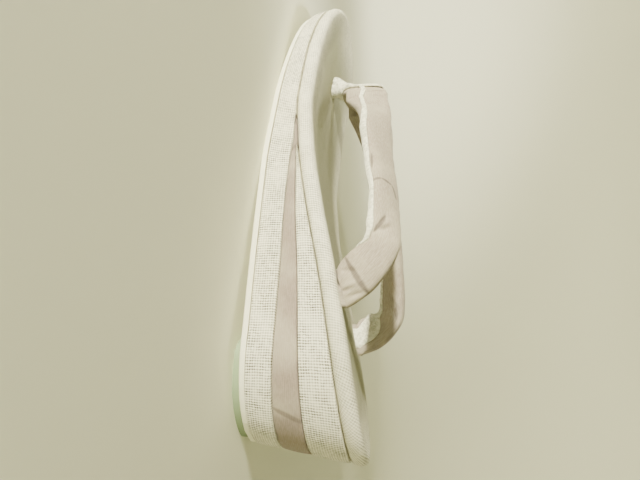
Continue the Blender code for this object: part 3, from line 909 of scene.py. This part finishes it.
# Troughs and ridges in the crepe: start and end in metres along the arm and shares round the
# section, height and reach
bendTroughs = (
    ((0.0175, 0.56), (0.0175, 0.46), -0.0030, 0.0050),
    ((0.0140, 0.56), (0.0270, 0.56), -0.0021, 0.0050),
    ((0.0220, 0.62), (0.0520, 0.62), -0.0026, 0.0060),  # draws in the arm's lower edge
)
tipFolds = (
    ((0.1345, 0.24), (0.1385, 0.04), -0.0006, 0.0007),
    ((0.1322, 0.24), (0.1362, 0.04), 0.0004, 0.0008),
)
creases = {
    "left": bendTroughs + (
        ((0.0180, 0.42), (0.0240, 0.335), -0.0010, 0.0010),
        ((0.0240, 0.335), (0.0285, 0.22), -0.0009, 0.0010),
        ((0.0262, 0.345), (0.0312, 0.21), 0.0007, 0.0013),
        ((0.0236, 0.355), (0.0335, 0.275), -0.0007, 0.0007),
        ((-0.0010, 0.205), (0.0046, 0.150), -0.0008, 0.0008),
        ((0.0012, 0.215), (0.0066, 0.160), 0.0005, 0.0010),
        ((0.0030, 0.36), (0.0085, 0.25), -0.0006, 0.0010),
        ((0.0020, 0.11), (0.0075, 0.045), -0.0006, 0.0009),
        ((0.0400, 0.10), (0.0560, 0.16), -0.0004, 0.0030),
    ) + tipFolds,
    "right": bendTroughs + (
        ((0.0190, 0.92), (0.0240, 0.80), -0.0009, 0.0011),
        ((0.0245, 0.95), (0.0300, 0.82), 0.0005, 0.0014),
        ((0.0190, 0.40), (0.0270, 0.24), -0.0009, 0.0011),
        ((0.0030, 0.40), (0.0085, 0.26), -0.0006, 0.0010),
        ((0.0040, 0.15), (0.0090, 0.05), -0.0006, 0.0010),
    ) + tipFolds,
}


def creaseLift(run, share, table):
    # sum of bell curves across line segments, faded at the segments' ends
    lift = np.zeros(np.broadcast(run, share).shape)
    for start, end, height, reach in table:
        spanRun, spanShare = end[0] - start[0], (end[1] - start[1]) * sectionGirth
        offRun, offShare = run - start[0], (share - start[1]) * sectionGirth
        length = spanRun ** 2 + spanShare ** 2
        t = np.clip((offRun * spanRun + offShare * spanShare) / length, 0, 1)
        distance = np.hypot(offRun - t * spanRun, offShare - t * spanShare)
        lift += height * np.exp(-(distance / reach) ** 2) * (0.35 + 0.65 * np.sin(math.pi * t))
    return lift


def liningTable(name, run):
    return smoothCurve(lining["run"], lining[name], run)


def liningEdges(run, arm):
    inner = liningTable("inner", run) - arms[arm]["trim"] * liningTable("trim", run)
    return liningTable("outer", run), inner


def ripple(run, share, seed):
    # mean of a few sine waves of unlike lengths, each a little later than the one before
    across = share * sectionGirth
    total = 0
    for index, (waveRun, waveAcross) in enumerate(cloth["waves"]):
        phase = 2 * math.pi * (run / waveRun + across / waveAcross)
        total = total + np.sin(phase + seed + 2.1 * index)
    return total / len(cloth["waves"])


def clothLift(run, share, arm):
    # creases, gathers at the hole and soft unevenness
    seed = arms[arm]["seed"]
    lift = creaseLift(run, share, creases[arm])
    gather = np.exp(-(run / cloth["gatherReach"]) ** 2)
    fold = np.sin(2 * math.pi * cloth["gatherCount"] * share + seed)
    lift = lift + cloth["gather"] * gather * fold
    return lift + cloth["ripple"] * ripple(run, share, seed) * smoothStep(0.004, 0.02, run)


def armSkin(path, arm, share):
    # skin of the crepe on one arm, pressed in where the velvet lies
    run = path["run"][:, None]
    outer, inner = liningEdges(run, arm)
    hem = lining["hem"]
    inside = smoothStep(-hem, hem, share - outer) * smoothStep(-hem, hem, inner - share)
    lift = clothLift(run, share, arm) - lining["bed"] * inside
    return strapSurface(path, np.arange(len(run)), share, lift)


def withRoot(grid):
    # the first ring again, pushed down into its hole, parallel to the board's faces
    root = grid[:1].copy()
    root[..., 2] = soleTop(shareAt(root[..., 0])) - strap["rootDepth"] * sole["topThickness"]
    return np.concatenate([root, grid])


def mirrorRows(grid):
    return grid * (1, -1, 1)


def crepeStrap(path, material):
    # both arms' skins, eased into their mean towards the toe; the right one is mirrored and
    # runs back, so that the two make one tube
    columns = np.arange(strap["around"] + 1)[None, :] / strap["around"]
    left, right = (armSkin(path, arm, columns[:, :-1]) for arm in ("left", "right"))
    weight = smoothStep(strap["joinStart"], 1.0, path["run"] / path["run"][-1])[:, None, None]
    middle = (left + right) / 2
    left = withRoot(left * (1 - weight) + middle * weight)
    right = mirrorRows(withRoot(right * (1 - weight) + middle * weight))
    grid = np.concatenate([left, right[-2::-1]])
    run = np.append(-strap["rootRun"], path["run"])
    u = np.append(run, 2 * run[-1] - run[-2::-1])[:, None]
    uv = cornerUv(u, columns * sectionGirth)
    return addMesh("crepeStrap", grid, uv, endCaps(grid), material, True)


def finerPath(path, times):
    # the strap's path with rows put in between its own, along straight lines
    rows = np.arange(len(path["run"]) - strap["turnSteps"] // 2)
    between = np.linspace(0, rows[-1], times * rows[-1] + 1)
    finer = {}
    for name, values in path.items():
        columns = values.reshape(len(values), -1)
        drawn = [np.interp(between, rows, column[rows]) for column in columns.T]
        finer[name] = drawn[0] if values.ndim == 1 else np.column_stack(drawn)
    finer["face"], finer["edge"] = unit(finer["face"]), unit(finer["edge"])
    return finer


def liningStrip(path, arm):
    # closed strip along one arm: the pile outside, bulging between its edges with random
    # tufts, and a back that lies in the crepe's bed; the first ring goes into the hole
    rows = np.arange(len(path["run"]))
    run = path["run"][:, None]
    outer, inner = liningEdges(run, arm)
    t = np.linspace(0, 1, lining["steps"])[None, :]
    share = outer + (inner - outer) * t
    rough = liningTable("rough", run) * lining["tuft"]
    risen = smoothStep(-0.002, 0.005, run)
    chance = np.random.default_rng(int(10 * arms[arm]["seed"])).random(share.shape)
    clump = (chance + np.roll(chance, 1, axis=0) + np.roll(chance, 1, axis=1)) / 3
    tuft = np.clip(0.7 * chance ** 2 + 0.6 * clump - 0.25, 0, 1)
    crown = 0.3 + 0.7 * (1 - (2 * t - 1) ** 4) ** 0.5
    over = clothLift(run, share, arm) + crown * risen * (lining["pile"] + rough * tuft)
    under = clothLift(run, share[:, ::-1], arm) - lining["back"]
    front = strapSurface(path, rows, share, over)
    back = strapSurface(path, rows, share[:, ::-1], under)
    return withRoot(np.concatenate([front, back], axis=1))


def velvetLining(path):
    # a strip on each arm, over a finer copy of the strap's path; the right one is mirrored
    fine = finerPath(path, lining["finer"])
    run = np.append(-strap["rootRun"], fine["run"])[:, None]
    left, right = liningStrip(fine, "left"), mirrorRows(liningStrip(fine, "right"))
    uv, caps = cornerUv(run, uvColumns(left.shape[1])), endCaps(left)
    return [
        addMesh("velvetLining", left, uv, caps, velvetWhite, True),
        addMesh("velvetLiningRight", right, uv, caps, velvetWhite, False),
    ]


def oval(centreX, length, width, height, around):
    # ellipse in a level plane, its first point on the left
    turn = np.linspace(0, 2 * math.pi, around, endpoint=False) + math.pi / 2
    x = centreX + np.cos(turn) * length / 2
    return np.column_stack([x, np.sin(turn) * width / 2, np.full(around, height)])


def turnSkin(spread, height):
    # radius of the strap's skin about the toe turn, with a clearance, at angles from the
    # front and heights: the same easing from side to front as the strap's path
    share = 1 - np.abs(spread) / (math.pi / 2)
    ease = share * (2 - share)
    start = strap["height"] * strapLine["rise"][-1] + soleTop(strapLine["along"][-1])
    middle = start + (tipHeight() - start) * ease
    wide, thick = strapLine["width"][-1], strapLine["thickness"][-1]
    wide = wide + (strap["tipWidth"] - wide) * ease
    thick = thick + (strap["tipThickness"] - thick) * ease
    gap = 1.2 * sole["fitGap"]
    away = np.clip(np.abs(height - middle) / (wide * strap["width"] / 2 + gap), 0, 1)
    bulge = (1 - away ** strap["power"]) ** (1 / strap["power"])
    return strap["tipTurn"] + bulge * (thick * strap["thickness"] / 2 + gap)


def velvetThong():
    # an oval stem of two strands out of the toe hole, which spreads into a wrap round the
    # front of the strap's turn: back and front arcs about the turn's middle
    holeX = thongHoleX()
    base = float(soleTop(float(shareAt(holeX))))
    centreX = placeAt(strap["tipPlace"])
    widest = strap["tipTurn"] + strap["tipThickness"] * strap["thickness"] / 2 + sole["fitGap"]
    stem = holeX - thong["length"] / 2 - centreX
    middle = tipHeight()
    halfHigh = strap["tipWidth"] * strap["width"] / 2
    underTurn = middle - halfHigh
    low = base + thongLine["rise"][1] * strap["height"]
    height = np.linspace(low, middle + thong["cover"] * halfHigh, thong["levels"])[:, None]
    rise = (height - base) / strap["height"]
    spread = np.radians(smoothCurve(thongLine["rise"], thongLine["angle"], rise))
    t = np.linspace(-1, 1, thong["around"] // 2, endpoint=False)[None, :]
    climb = np.clip((height - base) / (underTurn - base), 0, 1)
    below = stem + (strap["tipTurn"] - stem) * climb ** 2
    inner = np.where(height < underTurn, below, turnSkin(t * spread, height))
    reach = smoothCurve(thongLine["rise"], thongLine["reach"], rise) * thong["length"]
    reach = np.maximum(reach, thong["wrap"])
    lower = 1 - smoothStep(middle - 0.5 * halfHigh, middle, height)
    outer = inner + reach + (widest - inner) * lower
    square = 2 + 1.6 * smoothStep(underTurn, middle, height)
    bulge = (1 - np.abs(t) ** square) ** (1 / square)
    top = (height - middle) / (thong["cover"] * halfHigh)
    closing = np.clip((1 - top) / thong["closing"], 0, 1)
    bulge = bulge * np.sqrt(1 - (1 - closing) ** 2)
    front = inner + (outer - inner) * np.maximum(bulge, thong["leastBulge"])
    x = centreX + np.hstack([inner * np.cos(-t * spread), front * np.cos(t * spread)])
    y = np.hstack([inner * np.sin(-t * spread), front * np.sin(t * spread)])
    walls = np.stack([x, y, np.broadcast_to(height, x.shape)], axis=-1)
    mouth = oval(holeX, thong["length"], thong["width"], base, thong["around"])
    grid = withRoot(np.concatenate([mouth[None], walls]))
    # the groove between the strands, fore and aft, fades where they join
    level = np.linspace(0, 1, len(grid))[:, None]
    groove = np.exp(-((grid[..., 0] - holeX + thong["strandSet"]) / thong["strandWidth"]) ** 2)
    groove = groove * (1 - smoothStep(*thong["strandFade"], level))
    grid[..., 1] *= 1 - thong["strandGap"] * groove
    uv = cornerUv(level * thong["uvHeight"], uvColumns(thong["around"]))
    return addMesh("velvetThong", grid, uv, endCaps(grid), velvetWhite, False)


holes = {
    "steps": 40,
    "below": 0.03,  # how far the cutters reach under and over the foot board
    "above": 0.02,
}


def cutHoles(item, path):
    # holes through the board for the strap's ends and the thong, each with a clearance
    gap, count = sole["fitGap"], holes["steps"]
    share = np.arange(count)[None, :] / count
    loop = strapSurface(path, np.array([0]), share, np.full((1, count), gap))[0]
    thongLoop = oval(thongHoleX(), thong["length"] + 2 * gap, thong["width"] + 2 * gap, 0, count)
    for name, ring in (("left", loop), ("right", mirrorRows(loop)), ("toe", thongLoop)):
        middle = float(soleTop(float(shareAt(ring[:, 0].mean()))))
        grid = np.stack([ring, ring])
        grid[0, :, 2], grid[1, :, 2] = middle - holes["below"], middle + holes["above"]
        uv = np.zeros((count, 4, 2))
        cutter = addMesh(name + "Cutter", grid, uv, endCaps(grid), wovenTop, False)
        cut = item.modifiers.new(name, "BOOLEAN")
        cut.operation = "DIFFERENCE"
        cut.solver = "EXACT"
        cut.object = cutter
    graph = bpy.context.evaluated_depsgraph_get()
    finished = bpy.data.meshes.new_from_object(item.evaluated_get(graph))
    item.modifiers.clear()
    item.data = finished
    for name in ("left", "right", "toe"):
        bpy.data.objects.remove(bpy.data.objects[name + "Cutter"])


path = strapPath()
board3d = footBoard()
cutHoles(board3d, path)
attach(board3d, "root")
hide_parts("top_layer")
print("zori: foot board made")

upper = crepeStrap(path, strapCrepe)
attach(upper, "root")
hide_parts("strap")
for piece in velvetLining(path):
    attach(piece, "root")
toeThong = velvetThong()
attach(toeThong, "root")
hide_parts("toe_thong")
print("zori: strap and thong made")

# Floor, backdrop and light
studio = {
    "radius": 1.1,
    "bend": 0.5,
    "wallHeight": 1.2,
    "firstRing": 0.02,
    "flatSteps": 12,
    "bendSteps": 16,
    "around": 96,
    "floorColour": screen(245, 245, 226),
    "worldColour": screen(246, 247, 205),
    "worldStrength": 0.07,
}
lamps = {
    # place, where it points, size, power, colour, cone in degrees or 0 for a disk
    "keyLight": ((0.30, 0.83, 0.06), (0, 0, 0.03), 0.14, 96.0, (1.0, 0.95, 0.72), 0),
    "backdropLight": ((0.40, -0.18, 0.62), (0.66, -0.40, 0), 0.20, 26.0, (1.0, 0.97, 0.78), 104),
    "toeLight": ((0.00, -0.04, 0.50), (0.112, 0, 0.02), 0.12, 10.0, (1.0, 0.98, 0.80), 20),
}


def addStudio():
    # a bowl: flat floor, a quarter round, then a wall, turned about the upright axis
    bend = np.linspace(0, math.pi / 2, studio["bendSteps"] + 1)[1:]
    flat = studio["radius"] - studio["bend"]
    level = np.linspace(studio["firstRing"], flat, studio["flatSteps"])
    radius = np.concatenate([level, flat + studio["bend"] * np.sin(bend), [studio["radius"]]])
    rise = studio["bend"] * (1 - np.cos(bend))
    height = np.concatenate([np.zeros(len(level)), rise, [studio["wallHeight"]]])
    turn = np.linspace(0, 2 * math.pi, studio["around"], endpoint=False)[None, :]
    x, y = radius[:, None] * np.cos(turn), radius[:, None] * np.sin(turn)
    grid = np.stack([x, y, np.broadcast_to(height[:, None], x.shape)], axis=-1)
    finish = Finish("paperFloor", 0.9, Specular_IOR_Level=0.1)
    finish.shader.inputs["Base Color"].default_value = studio["floorColour"]
    uv = np.zeros((len(grid) - 1, studio["around"], 4, 2))
    floor = addMesh("studioFloor", grid, uv, endCaps(grid)[:1], finish.material, False)
    for name, (place, target, size, power, colour, cone) in lamps.items():
        light = bpy.data.lights.new(name, "SPOT" if cone else "AREA")
        if cone:
            light.spot_size = math.radians(cone)
            light.spot_blend = 1.0
            light.shadow_soft_size = size / 2
        else:
            light.shape = "DISK"
            light.size = size
        light.energy = power
        light.color = colour
        lamp = bpy.data.objects.new(name, light)
        bpy.context.collection.objects.link(lamp)
        lamp.location = place
        aim = Vector(target) - Vector(place)
        lamp.rotation_euler = aim.to_track_quat("-Z", "Y").to_euler()
    world = bpy.data.worlds.new("softWorld")
    bpy.context.scene.world = world
    world.use_nodes = True
    background = world.node_tree.nodes["Background"]
    background.inputs["Color"].default_value = studio["worldColour"]
    background.inputs["Strength"].default_value = studio["worldStrength"]


addStudio()
print("zori: studio made")
